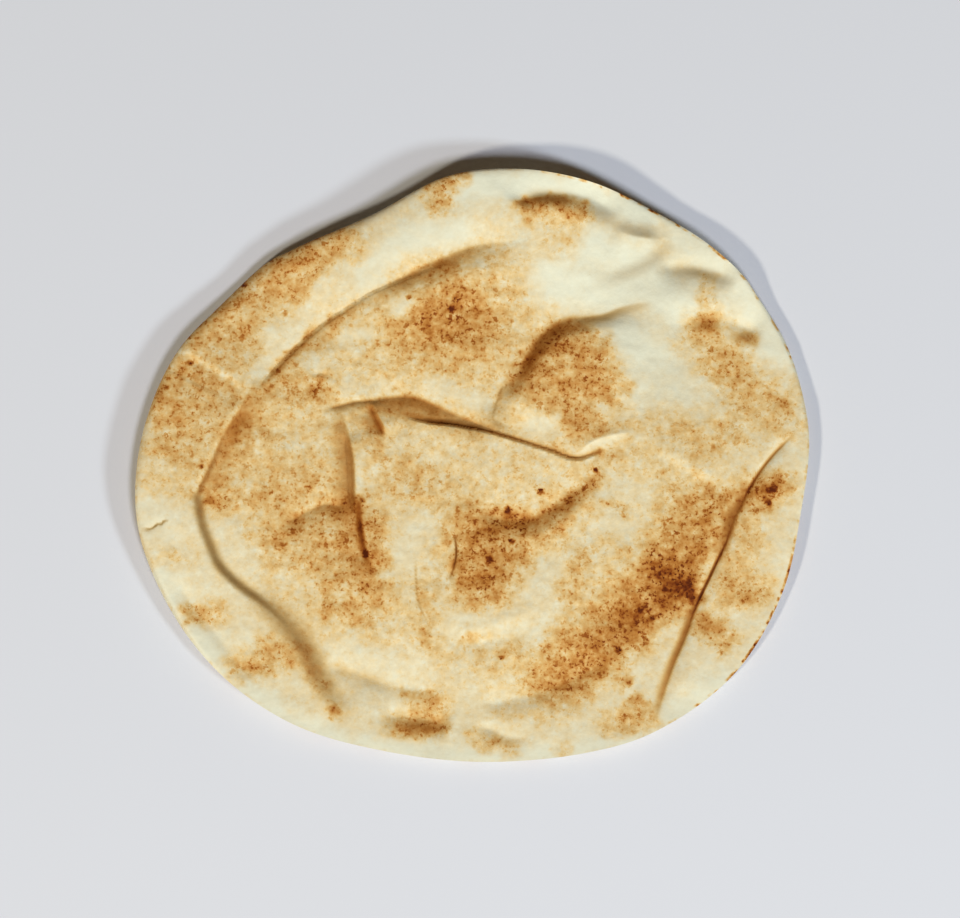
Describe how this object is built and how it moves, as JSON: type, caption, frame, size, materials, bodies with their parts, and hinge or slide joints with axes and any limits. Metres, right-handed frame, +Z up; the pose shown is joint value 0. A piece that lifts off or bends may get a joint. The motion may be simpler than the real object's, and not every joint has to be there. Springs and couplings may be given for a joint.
{
  "type": "pita bread",
  "caption": "Whole round flat pita bread lying open, with a puffed far rim, a creased top skin and toasted brown patches on pale skin.",
  "frame": {"origin": "middle of the bread's box on the surface that it lies on", "axes": "+Z up out of the toasted side, +X along the longer width, +Y to the edge that is far from the viewer"},
  "size_m": [0.231, 0.2052, 0.0135],
  "materials": {
    "crust": "matte"
  },
  "bodies": {
    "root": {"pita_bread": "crust"}
  },
  "joints": []
}
